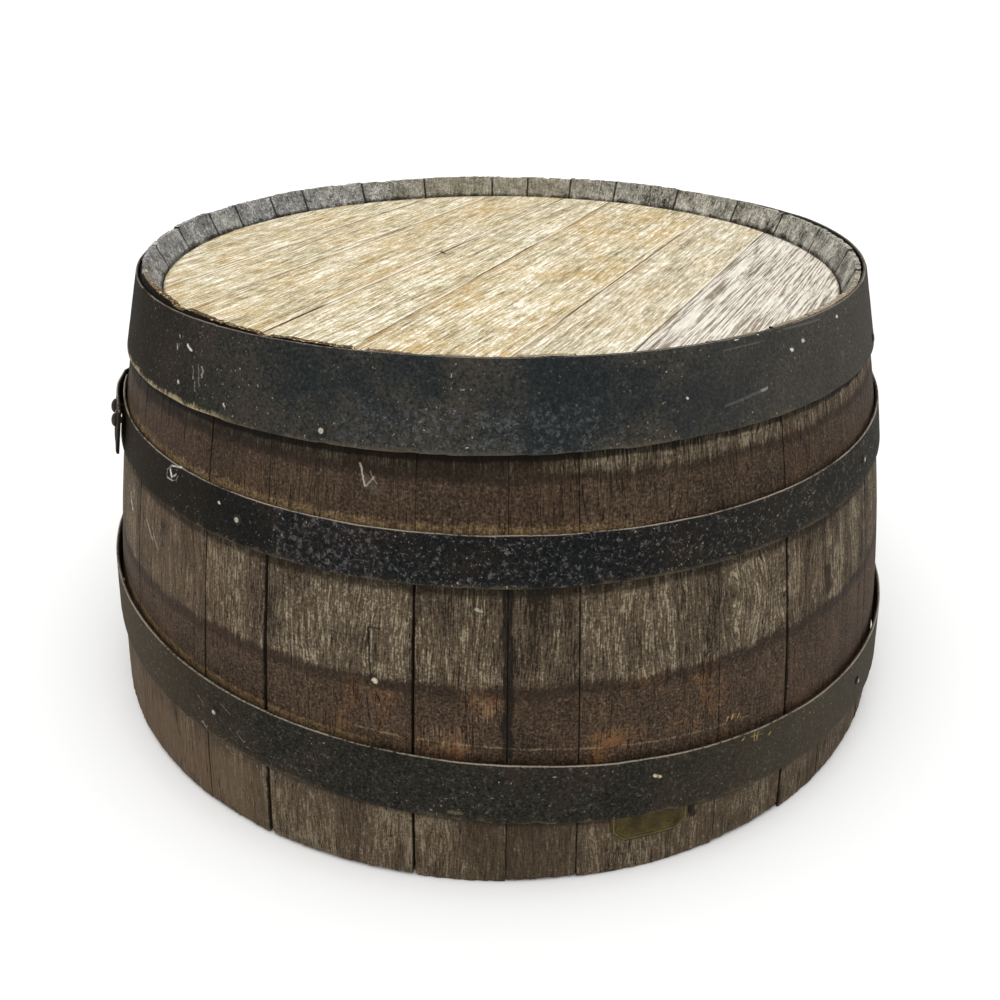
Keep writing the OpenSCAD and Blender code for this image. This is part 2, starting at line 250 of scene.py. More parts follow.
def border(rows, cols):
    """The points round the edge of a grid, rows x cols, in order."""
    index = np.arange(rows * cols).reshape(rows, cols)
    return np.concatenate([index[:, 0], index[-1, 1:], index[-2::-1, -1], index[0, -2:0:-1]])


def between(upper, lower):
    """Quads that join two rings of equally many points."""
    return np.stack([upper, lower, np.roll(lower, -1), np.roll(upper, -1)], -1).tolist()


def end_caps(rows, cols):
    """The two faces that close a swept ring of rows at its first and last column."""
    return [list(range(0, rows * cols, cols)), list(range(cols - 1, rows * cols, cols))]


def add_object(name, data):
    """Puts an object with this mesh, light or camera into the scene."""
    thing = bpy.data.objects.new(name, data)
    bpy.context.scene.collection.objects.link(thing)
    return thing


def build(name, node, points, faces, paints, paint_of=None,
          grain=(0, 0, 0), edge=(9, 9, 9), tone=(0.5, 0.5, 0.5)):
    """Makes a mesh piece that stands for a CAD node, on the one body of the barrel.

    Its outside faces out and its corners are sharp. Grain, edge and tone are three numbers each for
    every point, which the materials read: places along the wood or metal in millimetres, distances
    from edges, and what differs from piece to piece.
    """
    points = np.asarray(points, float).reshape(-1, 3)
    mesh = bpy.data.meshes.new(name)
    mesh.from_pydata((points * MM).tolist(), [], faces)
    for paint in paints:
        mesh.materials.append(paint)
    if paint_of is not None:
        mesh.polygons.foreach_set("material_index", paint_of)
    solid = bmesh.new()
    solid.from_mesh(mesh)
    bmesh.ops.recalc_face_normals(solid, faces=solid.faces)
    solid.to_mesh(mesh)
    solid.free()
    for label, values in (("grain", grain), ("edge", edge), ("tone", tone)):
        values = np.asarray(values, np.float32)
        values = np.broadcast_to(values.reshape(-1, 3), points.shape)
        layer = mesh.attributes.new(label, "FLOAT_VECTOR", "POINT")
        layer.data.foreach_set("vector", np.ascontiguousarray(values).ravel())
    mesh.shade_smooth()
    mesh.set_sharp_from_angle(angle=math.radians(SHARP_ANGLE))
    piece = add_object(name, mesh)
    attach(piece, "root")
    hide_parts(node)


# ---------------- shader building
def srgb(code):
    """A colour like #8a7a3c as linear RGBA."""
    parts = [int(code[i:i + 2], 16) / 255 for i in (1, 3, 5)]
    return [p / 12.92 if p <= 0.04045 else ((p + 0.055) / 1.055) ** 2.4 for p in parts] + [1]


class Field:
    """The output of a shader node. Arithmetic on it adds math nodes."""

    def __init__(self, paint, socket):
        self.paint = paint
        self.socket = socket

    def __add__(self, other):
        return self.paint.math("ADD", self, other)

    def __sub__(self, other):
        return self.paint.math("SUBTRACT", self, other)

    def __rsub__(self, other):
        return self.paint.math("SUBTRACT", other, self)

    def __mul__(self, other):
        return self.paint.math("MULTIPLY", self, other)

    def __truediv__(self, other):
        return self.paint.math("DIVIDE", self, other)

    __radd__ = __add__
    __rmul__ = __mul__


class Paint:
    """A material under construction. Most methods add nodes and return an output as a Field."""

    def __init__(self, name):
        self.material = bpy.data.materials.new(name)
        self.material.use_nodes = True
        self.tree = self.material.node_tree
        self.tree.nodes.clear()
        self.colour = None
        self.place = None

    def node(self, kind, output, inputs, **settings):
        made = self.tree.nodes.new(kind)
        for key, value in settings.items():
            setattr(made, key, value)
        for key, value in inputs.items():
            if isinstance(value, Field):
                self.tree.links.new(value.socket, made.inputs[key])
            else:
                made.inputs[key].default_value = value
        return Field(self, made.outputs[output])

    def math(self, operation, a, b=0.0):
        return self.node("ShaderNodeMath", 0, {0: a, 1: b}, operation=operation)

    def parts(self, vector):
        split = self.node("ShaderNodeSeparateXYZ", 0, {0: vector}).socket.node
        return [Field(self, output) for output in split.outputs]

    def attribute(self, name):
        """The three numbers of a mesh attribute."""
        return self.parts(self.node("ShaderNodeAttribute", "Vector", {}, attribute_name=name))

    def locate(self):
        """The place in the barrel's frame, in millimetres."""
        self.place = [part / MM for part in self.parts(self.node("ShaderNodeTexCoord", "Object", {}))]
        return self.place

    def ramp(self, value, low, high):
        """Rises smoothly from 0 at low to 1 at high; falls if low is the larger."""
        if low > high:
            return 1 - self.ramp(value, high, low)
        return self.node("ShaderNodeMapRange", 0, {"Value": value, "From Min": low, "From Max": high},
                         interpolation_type="SMOOTHSTEP")

    def band(self, value, low, high, soft):
        """1 between low and high, falling to 0 over a soft distance outside them."""
        return self.ramp(value, low - soft, low) * self.ramp(value, high + soft, high)

    def noise(self, x, y, z=0.0, detail=2.0, roughness=0.5):
        """Noise from 0 to 1, about one unit from bump to bump."""
        place = self.node("ShaderNodeCombineXYZ", 0, {0: x, 1: y, 2: z})
        return self.node("ShaderNodeTexNoise", 0, {"Vector": place, "Scale": 1.0, "Detail": detail,
                                                   "Roughness": roughness})

    def cloud(self, size, detail=2.0, roughness=0.5):
        """Noise of the place, about as many millimetres from bump to bump as its size."""
        x, y, z = self.place
        return self.noise(x / size, y / size, z / size, detail, roughness)

    def mix(self, low, high, share):
        """A colour from low to high, where each may be a code like #8a7a3c."""
        low, high = [srgb(colour) if isinstance(colour, str) else colour for colour in (low, high)]
        return self.node("ShaderNodeMix", 2, {0: share, 6: low, 7: high}, data_type="RGBA")

    def tint(self, code, share):
        """Takes the material's colour a share of the way to another one."""
        self.colour = self.mix(self.colour, code, share)

    def stroke(self, u, v, start, end, width):
        """1 on a short line from start to end in the plane of u and v, falling to 0 at its width."""
        du, dv = end[0] - start[0], end[1] - start[1]
        u, v = u - start[0], v - start[1]
        reach = self.math("MAXIMUM", (u * du + v * dv) / (du * du + dv * dv), 0.0)
        reach = self.math("MINIMUM", reach, 1.0)
        side_u, side_v = u - reach * du, v - reach * dv
        return self.ramp(self.math("SQRT", side_u * side_u + side_v * side_v), width, width * 0.4)

    def marks(self, marks, turn, height, radius, whole):
        """Tints single marks on a round surface: turn is the length round it, whole where they show."""
        for start, low, end, high, width, code, strength in marks:
            start, end = math.radians(start) * radius, math.radians(end) * radius
            mark = self.stroke(turn, height, (start, low), (end, high), width)
            self.tint(code, mark * whole * strength)

    def bump(self, height, depth):
        """Relief of a depth in millimetres where height goes from 0 to 1."""
        return self.node("ShaderNodeBump", 0, {"Height": height, "Distance": depth * MM, "Strength": 1.0})

    def finish(self, roughness, normal, specular=0.5, glow=0.0):
        """Ends the material with its colour, and returns it."""
        shader = self.node("ShaderNodeBsdfPrincipled", 0,
                           {"Base Color": self.colour, "Roughness": roughness,
                            "Specular IOR Level": specular, "Normal": normal,
                            "Emission Color": (1, 1, 1, 1), "Emission Strength": glow})
        out = self.tree.nodes.new("ShaderNodeOutputMaterial")
        self.tree.links.new(shader.socket, out.inputs["Surface"])
        return self.material


def above_hoop(hoop, x, y, z):
    """Height above a hoop's middle line, which is tilted."""
    tilt_x, tilt_y = (math.sin(math.radians(t)) for t in hoop.tilt)
    return z - hoop.z - y * tilt_x + x * tilt_y


def azimuth_of(p, x, y):
    return p.math("ARCTAN2", y, x) * math.degrees(1)


def weathered_oak():
    """The outside of the staves: grey-brown, raised grain, with rust where hoops have sat."""
    p = Paint("weathered_oak")
    across, along, drop = p.attribute("grain")
    to_joint, _, _ = p.attribute("edge")
    light, red, wild = p.attribute("tone")
    x, y, z = p.locate()
    at = azimuth_of(p, x, y)
    line = across + (p.noise(across / 34, along / 120) - 0.5) * (wild * 34 + 6)
    fine = p.noise(line / 1.15, along / 13, 3, detail=4, roughness=0.75)
    mid = p.noise(line / 3.2, along / 55, 1, detail=3, roughness=0.6)
    broad = p.noise(line / 16, along / 170, 2)
    crack = p.noise(line / 7, along / 130, 5, detail=3, roughness=0.65)
    blotch = p.cloud(40, 3, 0.6)
    speckle = p.cloud(1.7, 2, 0.6)
    wander = p.cloud(9, 3, 0.65)

    share = fine * 3.1 + mid * 1.3 + speckle * 1.5 + broad * 1.1 + blotch * 1.2 + light * 0.55 - 3.86
    p.colour = p.mix("#251e16", "#544839", p.ramp(share, -0.1, 0.45))
    p.tint("#9f937a", p.ramp(share, 0.5, 1.15))
    p.tint("#1a140e", p.ramp(drop, 0.7, 1.1) * 0.4)
    p.tint("#5c4232", red * p.ramp(blotch, 0.35, 0.65) * 0.4)
    p.tint("#4e3f2f", p.ramp(z, 90, 50) * 0.4)
    left = p.ramp(at, -180, -160)
    p.tint("#6d5a45", p.ramp(z, 60, 45) * p.ramp(at, -115, -125) * left * 0.5)
    p.tint("#5a4838", p.ramp(at, -115, -140) * p.ramp(blotch, 0.3, 0.6) * left * 0.5)

    # Darker and lighter margins beside the hoops; the darker margins below the hoops are painted shade of
    # the hoops, with dirt in it
    over_bilge = above_hoop(BILGE, x, y, z)
    over_quarter = above_hoop(QUARTER, x, y, z)
    over_chime = above_hoop(CHIME, x, y, z)
    streaky = (mid - 0.5) * 10 + (fine - 0.5) * 14
    under_chime = p.ramp(over_chime + streaky, -43, -36)
    shade_and_dirt = (under_chime * p.ramp(at, -78, -92) + under_chime * p.band(at, -76, -46, 5) * 0.4
              + p.ramp(over_chime, -31, -28) + p.band(over_quarter + streaky * 0.4, -21, -12, 4)
              + p.band(over_bilge + streaky * 0.4, -26, -20, 4))
    shade_and_dirt = p.math("MINIMUM", shade_and_dirt, 1.0)

    # Ghosts of the places where the hoops sat before they were driven
    ragged = (p.noise(x / 24, y / 24, z / 60) - 0.5) * 9 + (mid - 0.5) * 8 + (fine - 0.5) * 6
    ghost_bilge = p.ramp(over_bilge, 10, 24) * p.ramp(z + ragged, 157, 151)
    ghost_quarter = p.ramp(over_quarter, 8, 16) * p.ramp(z + ragged, 294, 284)
    ghost = p.math("MAXIMUM", ghost_bilge, ghost_quarter)
    rust_share = fine * 0.5 + speckle * 1.4 + blotch * 0.4
    rust = p.mix("#1c1510", "#594736", p.ramp(rust_share, 0.8, 1.52))
    rust = p.mix(rust, "#523626", red * p.ramp(blotch, 0.3, 0.6) * 0.6)
    orange = p.ramp(blotch + speckle * 0.4, 0.72, 0.9) * p.ramp(z, 200, 170) * p.band(at, -106, -62, 4)
    rust = p.mix(rust, "#80552f", orange * 0.6)
    rubbed = p.ramp(fine + blotch * 0.6, 0.86, 1.0) * p.band(at, -97, -91, 3) * p.band(z, 112, 146, 8)
    rust = p.mix(rust, "#a08c70", rubbed * 0.6)
    rust = p.mix(rust, "#8d7c69", p.ramp(speckle, 0.64, 0.74) * 0.5)
    rust = p.mix(rust, "#16100b", ghost_quarter * 0.16)
    p.colour = p.mix(p.colour, rust, ghost * 0.9)
    rim = p.band(z + ragged, 147, 152, 4) + p.band(z + ragged, 283, 286, 3)
    p.tint("#1d1610", rim * ghost * 0.5)
    # Painted shade and dirt below the hoops
    p.tint("#150f08", shade_and_dirt * 0.66)
    # Painted shadow: a thin near-black band right under the chime hoop's lower edge
    p.tint("#0a0704", p.ramp(over_chime + (wander - 0.5) * 4, -33.5, -31.5) * 0.85)
    pale_streak = p.ramp(over_chime + streaky, -43, -37) * p.band(at, -78, -44, 5)
    p.tint("#a4987f", pale_streak * p.ramp(fine, 0.46, 0.6) * 0.15)
    # Painted shade: a warm dark band below the chime hoop at the front
    p.tint("#1a1004", p.band(over_chime, -41, -30, 4) * p.band(at, -104, -80, 6) * 0.35)

    # Crusts of dried wine and rust on the hoops' upper edges
    golden = p.mix("#5d4a33", "#a98e66", p.ramp(speckle * 0.8 + fine * 0.6, 0.5, 0.95))
    crust = p.ramp(over_quarter, 12, 13) * p.ramp(over_quarter - wander * 8 - speckle * 6, 16, 8.5)
    crust = crust * p.band(at, -150, -80, 12)
    low_crust = p.ramp(over_bilge, 18, 20) * p.ramp(over_bilge - wander * 3 - speckle * 2, 23.5, 21.5)
    crust = crust + low_crust * p.band(at, -150, -108, 6)
    p.colour = p.mix(p.colour, golden, crust * p.ramp(wander, 0.2, 0.5) * 0.7)
    line_above = p.band(over_bilge + (mid - 0.5) * 2, 31.5, 32.3, 0.6) * p.band(at, -104, -62, 6)
    p.tint("#8d7c62", line_above * p.ramp(wander + fine, 0.9, 1.1) * 0.6)

    # Dirt in the joints, splits along the grain and pale flecks
    grimy = p.ramp(wander, 0.35, 0.55) * 0.6 + 0.25
    p.tint("#0f0b07", p.ramp(to_joint, 0.7, 0.1) * grimy * (1 - p.ramp(z, 240, 262) * 0.8))
    black_edge = p.band(at + (p.noise(z / 22, 0) - 0.5) * 1.6, -89.4, -88.6, 0.35)
    p.tint("#120e0a", black_edge * p.band(z, 110, 232, 12) * 0.8)
    split = p.band(crack, 0.497, 0.503, 0.005) * p.ramp(blotch, 0.45, 0.55)
    p.tint("#140f0a", split * 0.85)
    p.tint("#d9d2c0", p.ramp(speckle, 0.74, 0.8) * p.ramp(blotch, 0.52, 0.65) * 0.6)

    # Single marks that the barrel has picked up: azimuths and heights of their ends, paler or darker
    turn = at * (math.radians(1) * BILGE_R) + (wander - 0.5) * 5
    p.marks(MARKS, turn, z + (speckle - 0.5) * 2, BILGE_R, p.ramp(speckle, 0.25, 0.4))
    height = fine * 0.8 + mid * 0.6 - split * 1.2
    return p.finish(0.8 - ghost * 0.1, p.bump(height, 1.0), specular=0.12)


def chime_oak():
    """The sloping inner face of the stave ends: grey, with the marks of the adze."""
    p = Paint("chime_oak")
    across, along, _ = p.attribute("grain")
    light, _, wild = p.attribute("tone")
    to_joint, to_top, to_head = p.attribute("edge")
    x, y, z = p.locate()
    fine = p.noise(across / 2.0, along / 9, 1, detail=3, roughness=0.7)
    marks = p.noise((across + along * 0.9) / 1.9, (across - along) / 40, 2)
    blotch = p.cloud(16, 3, 0.65)
    speckle = p.cloud(1.8, 2, 0.6)
    crackle = p.noise(x / 4, y / 4, z / 2.5, detail=5, roughness=0.8)
    at = azimuth_of(p, x, y)
    share = fine * 2.0 + marks * wild * 2.0 + blotch * 1.4 + speckle * 1.2 + light * 0.5 - wild - 2.05
    p.colour = p.mix("#37342e", "#87847a", p.ramp(share, 0.0, 0.5))
    p.tint("#c9c4b7", p.ramp(share, 0.5, 1.1))
    p.tint("#767a80", p.ramp(x, -40, -220) * 0.5)
    p.tint("#23211e", p.ramp(crackle + (blotch - 0.5) * 0.3, 0.47, 0.36) * 0.7)
    p.tint("#d6d4ce", p.ramp(crackle + (blotch - 0.5) * 0.3, 0.55, 0.66) * 0.65)
    p.tint("#d3d5d2", p.ramp(speckle + (blotch - 0.5) * 0.3, 0.58, 0.68) * p.ramp(x, 60, -160) * 0.6)
    p.tint("#80775c", p.band(x, -60, 40, 90) * 0.4)
    near = p.ramp(y, -60, -170) * p.ramp(to_top, 7, 1.5)
    crusted = p.ramp(at, -92, -108)
    # Painted light on the land of the near staves
    p.tint("#8b7c62", near * 0.8)
    p.tint("#33271a", near * crusted * 0.9)
    p.tint("#a8844c", p.ramp(speckle, 0.5, 0.62) * near * crusted * 0.75)
    p.tint("#e3dcc9", p.ramp(speckle, 0.6, 0.7) * p.ramp(to_top, 4, 0) * 0.8)
    ragged = (blotch - 0.5) * 8 + (crackle - 0.5) * 6
    # Painted shade in a ragged dark band where the chime meets the head
    p.tint("#241e17", p.ramp(to_head + ragged + light * 1.2, 4.2, -0.8) * 0.9)
    p.tint("#120f0c", p.ramp(to_joint - (crackle - 0.42) * 7, 1.1, 0.0) * 0.85)
    height = fine * 0.7 + marks * wild * 0.8 + blotch * 0.4
    return p.finish(0.85, p.bump(height, 0.9), specular=0.12)


def inner_oak():
    """The inside of the staves and of the head: toasted, and stained by wine."""
    p = Paint("toasted_oak")
    across, along, _ = p.attribute("grain")
    p.locate()
    streak = p.noise(across / 3, along / 60, 1, detail=3, roughness=0.6)
    blotch = p.cloud(60, 3, 0.6)
    char = p.cloud(9, 3, 0.7)
    p.colour = p.mix("#2a1d15", "#5a4030", p.ramp(streak * 0.6 + blotch * 0.8, 0.4, 1.0))
    p.tint("#3f1d22", p.ramp(blotch, 0.4, 0.65) * 0.5)
    p.tint("#120e0b", p.ramp(char, 0.55, 0.75) * 0.6)
    return p.finish(0.85, p.bump(streak * 0.5 + char * 0.6, 1.0), specular=0.15)


def sawn_oak():
    """The sawn ends of the staves: end grain with growth rings and saw marks."""
    p = Paint("sawn_oak")
    across, _, depth = p.attribute("grain")
    light, _, _ = p.attribute("tone")
    to_joint, _, _ = p.attribute("edge")
    x, y, _ = p.locate()
    ring = p.noise((across + depth * 0.25) / 3.4, depth / 30, 1)
    ray = p.noise(across / 26, depth / 0.9, 2)
    saw = p.noise(x / 2.6, y / 60, 3)
    p.colour = p.mix("#3d3022", "#7d6849", p.ramp(ring * 0.8 + light * 0.3, 0.3, 0.8))
    p.tint("#a08a64", p.ramp(ray, 0.6, 0.72) * 0.5)
    p.tint("#231a12", p.ramp(depth, 22, 26) * 0.7 + p.ramp(depth, 3, 0) * 0.5)
    p.tint("#120d09", p.ramp(to_joint, 1.0, 0.2) * 0.8)
    return p.finish(0.88, p.bump(ring * 0.5 + saw * 0.6, 0.5), specular=0.15)


def head_oak():
    """The weathered top of the head: cream and ochre, with dark open grain."""
    p = Paint("head_oak")
    across, along, _ = p.attribute("grain")
    light, warm, ridged = p.attribute("tone")
    to_low, to_high, to_rim = p.attribute("edge")
    x, y, _ = p.locate()
    line = across + (p.noise(across / 40, along / 160) - 0.5) * (13 - ridged * 10)
    fine = p.noise(line / 1.3, along / 19, 4, detail=4, roughness=0.8)
    mid = p.noise(line / 3.0, along / 90, 1, detail=3, roughness=0.6)
    broad = p.noise(line / 22, along / 150, 2)
    ridge = p.noise(line / 1.35, along / 75, 3, detail=2, roughness=0.5)
    blotch = p.noise(x / 60, y / 60, 6, detail=3, roughness=0.6)
    mottle = p.noise(x / 2.2, y / 2.2, 7, detail=3, roughness=0.75)
    patch = p.noise(x / 14, y / 14, 9, detail=3, roughness=0.6)
    share = fine * 3.6 + mid * 2.1 + mottle * 1.6 + patch * 0.9 + broad * 0.6 + light * 0.4 - 4.29
    p.colour = p.mix("#6d634f", "#bbae8b", p.ramp(share, -0.25, 0.38))
    p.tint("#f0ecde", p.ramp(share, 0.38, 0.95))
    ochre = p.ramp(blotch + warm * 0.35 + (mid - 0.5) * 0.9, 0.52, 0.92)
    p.tint("#bf9446", ochre * p.ramp(share, 1.1, 0.1) * 0.5)
    p.tint("#988d7b", p.ramp(patch + blotch * 0.5, 0.66, 0.5) * 0.3)
    grey = p.mix("#71655d", "#e9e4dc", p.ramp(ridge + (fine - 0.5) * 0.5, 0.39, 0.57))
    p.colour = p.mix(p.colour, grey, p.ramp(ridged, 0.3, 1.0) * 0.7)
    to_joint = p.math("MINIMUM", to_low, to_high)
    # Painted shade in golden brown beside each joint on one board, and a painted highlight along the
    # other board's edge
    p.tint("#8e6734", p.ramp(to_high + (mottle - 0.5) * 7, 8, 1) * warm * 0.8)
    p.tint("#efe9d8", p.ramp(to_low, 2.2, 0.6) * p.ramp(broad, 0.56, 0.46) * 0.7)
    p.tint("#2f261c", p.ramp(to_joint, 1.0, 0.2) * p.ramp(broad, 0.44, 0.58) * 0.8)
    # Painted shade along the rim, where the head meets the chime
    p.tint("#4b3f31", p.ramp(to_rim + (mottle - 0.5) * 10, 3, 0) * 0.6)
    for start, end, width, strength in HEAD_MARKS:
        p.tint("#3b352e", p.stroke(x + (mottle - 0.5) * 5, y, start, end, width) * strength)
    height = fine * 0.6 + mid * 0.4 + mottle * 0.4 + ridge * ridged * 1.4
    return p.finish(0.8, p.bump(height, 0.8), specular=0.12)


def hoop_iron(shape, dark, light, sides, cold, speckled, top_line, foot_line, smooth=NOWHERE):
    """Old painted hoop iron: near black, speckled, worn to the metal and crusted along its edges, with a
    painted highlight along its upper edge.

    Sides are the tints of its left and right side and their strengths, cold is the strength of the
    blue in front, and the two lines are those of its top edge, bare metal with a painted highlight, and
    of its bottom edge. Smooth is a span of azimuths.
    """
    p = Paint(shape.name + "_iron")
    along, height, out = p.attribute("grain")
    to_top, to_bottom, _ = p.attribute("edge")
    x, y, _ = p.locate()
    at = azimuth_of(p, x, y)
    blotch = p.cloud(45, 3, 0.6)
    grain = p.cloud(2.0, 3, 0.75)
    flake = p.cloud(3.6, 4, 0.8)
    speck = p.cloud(1.7, 1)
    drip = p.noise(along / 3, height / 16, 3, detail=3, roughness=0.7)
    left = p.ramp(at, -112, -150) * p.ramp(at, -180, -160)
    right = p.ramp(at, -80, -44) * p.ramp(at, 50, 0)
    p.colour = p.mix(dark, light, p.ramp(grain * 1.6 + blotch * 0.5, 0.72, 1.38))
    p.tint("#1b2328", p.band(at, -108, -70, 30) * p.ramp(blotch, 0.68, 0.36) * cold)
    for side, (code, strength) in zip((left, right), sides):
        p.tint(code, side * strength)
    p.tint("#37261e", p.ramp(blotch, 0.5, 0.72) * 0.25)
    rough_part = 1 - p.band(at, *smooth, 0.5)
    violet = p.band(at, -117, -104, 2) * rough_part * (0.8 if shape is QUARTER else 0.0)
    p.tint("#6c6862", p.ramp(flake + violet * 0.03, 0.54, 0.66) * rough_part * speckled)
    p.tint("#4b4045", p.ramp(flake, 0.45, 0.6) * violet * speckled * 0.5)
    worn = p.ramp(flake, 0.5, 0.62) * p.band(at, -104, -82, 8) * p.ramp(height, 6, -8)
    p.tint("#565c60", worn * cold * 0.8)
    p.tint("#a8a49a", p.ramp(speck, 0.69, 0.78) * (p.ramp(blotch, 0.4, 0.6) * 0.5 + 0.2))
    p.tint("#4d4942", p.ramp(drip, 0.56, 0.74) * p.ramp(to_bottom, 30, 4) * 0.25)
    # The top edge: bare metal, and a painted highlight where it faces up
    bare_and_highlit = p.ramp(to_top + (grain - 0.5) * 1.2, 0.7, 0.2) * p.ramp(out, 0.9, 1.3)
    p.tint("#94887a", bare_and_highlit * p.ramp(blotch + grain, 0.75, 1.1) * top_line)
    p.tint("#4b4033", p.ramp(to_bottom + (grain - 0.5) * 2.5, 1.2, 0.2) * 0.35)
    uneven = p.cloud(12, 3, 0.7)
    deep = (drip - 0.5) * 5 + (grain - 0.5) * 6 + (uneven - 0.5) * 12
    cream = p.ramp(to_bottom + deep, 4.2, 0.4) * p.band(at, -158, -130, 7)
    p.tint("#b0a07d", cream * (0.45 + uneven * 0.7) * foot_line)
    chipped = p.ramp(to_bottom + (flake - 0.5) * 16, 3, 0) * p.ramp(blotch, 0.46, 0.56)
    p.tint("#6e614d", chipped * 0.35)
    radius = float(barrel_r(shape.z))
    turn = at * (math.radians(1) * radius) + (p.cloud(5) - 0.5) * 6
    # Scratches and stains on the iron, and painted glints on the scratches
    p.marks(HOOP_MARKS_AND_GLINTS[shape.name], turn, height + (grain - 0.5) * 2, radius, p.ramp(flake, 0.3, 0.5))
    relief = grain * 0.4 + flake * 0.7 * rough_part + blotch * 0.3
    return p.finish(0.7 + (grain - 0.5) * 0.3, p.bump(relief, 0.6), specular=0.03)


def small_iron(name, dark, light, ring):
    """Rivets and nails: hammered iron or dull steel, with a dark ring round the head's edge."""
    p = Paint(name)
    from_axis, _, _ = p.attribute("grain")
    p.locate()
    grain = p.cloud(1.2, 3, 0.7)
    rust = p.cloud(3, 2)
    p.colour = p.mix(dark, light, p.ramp(grain, 0.35, 0.7))
    p.tint("#5a3826", p.ramp(rust, 0.5, 0.68) * 0.5)
    p.tint("#15110d", p.ramp(from_axis + (grain - 0.5) * 1.5, ring - 0.7, ring) * 0.97)
    return p.finish(0.6, p.bump(grain, 0.25), specular=0.15)


def old_brass():
    """The blank brass plate: tarnished olive, brighter on what stands proud."""
    p = Paint("old_brass")
    _, along, raised = p.attribute("grain")
    p.locate()
    grain = p.cloud(1.5, 3, 0.7)
    blotch = p.cloud(9, 2)
    p.colour = p.mix("#2a230e", "#524522", p.ramp(grain * 0.6 + blotch * 0.7, 0.4, 0.95))
    p.tint("#83734a", p.ramp(raised + (grain - 0.5) * 1.2, 0.5, 1.1) * 0.5)
    p.tint("#191408", p.ramp(p.math("ABSOLUTE", along), 17, 20) * 0.4)
    return p.finish(0.6, p.bump(grain, 0.15), specular=0.1)


def dowel_oak():
    """The dowels inside the head: pale, straight-grained oak."""
    p = Paint("dowel_oak")
    p.locate()
    streak = p.cloud(1.2, 3)
    p.colour = p.mix("#a68a58", "#cdb684", streak)
    return p.finish(0.75, p.bump(streak, 0.3))


# ---------------- staves
STAVE_STEP = 1.35
OUTER_ROWS = 90
LAND_SET = (1.2, 3.2, 5.0)
BEVEL_ROWS = 7
INNER_ROWS = 22
FOOT_INSETS = (19, 11, 4)


def joint_gap(number, z):
    """How far the joint before a stave has opened at height z; above the quarter hoop all are tight."""
    opened = OPEN_JOINTS.get((number - 1) % len(STAVE_WIDTHS) + 1, HAIRLINE)
    return blend(opened, HAIRLINE, step_up(z, 222, 248))


def stave_tone(number):
    """Lightness, redness and waviness of a stave's grain."""
    random = [float(lattice(np.int64(number), np.int64(k), 5)) for k in range(3)]
    return STAVE_TONES.get(number, (0.3 + 0.4 * random[0], 0.2 + 0.4 * random[1], 0.4 * random[2]))


def stave_relief(across, z, seed, wild):
    """How far the weathered outside lies below the stave's true face."""
    drift = (4 + 12 * wild) * noise(across / 34, z / 120, seed)
    ridge = noise((across + drift) / 2.6, z / 60, seed + 1)
    fine = noise((across + drift) / 1.4, z / 24, seed + 2)
    hollow = noise(across / 30, z / 200, seed + 3)
    return np.clip(0.45 + 0.26 * ridge + 0.12 * fine + 0.22 * hollow, 0.02, None)


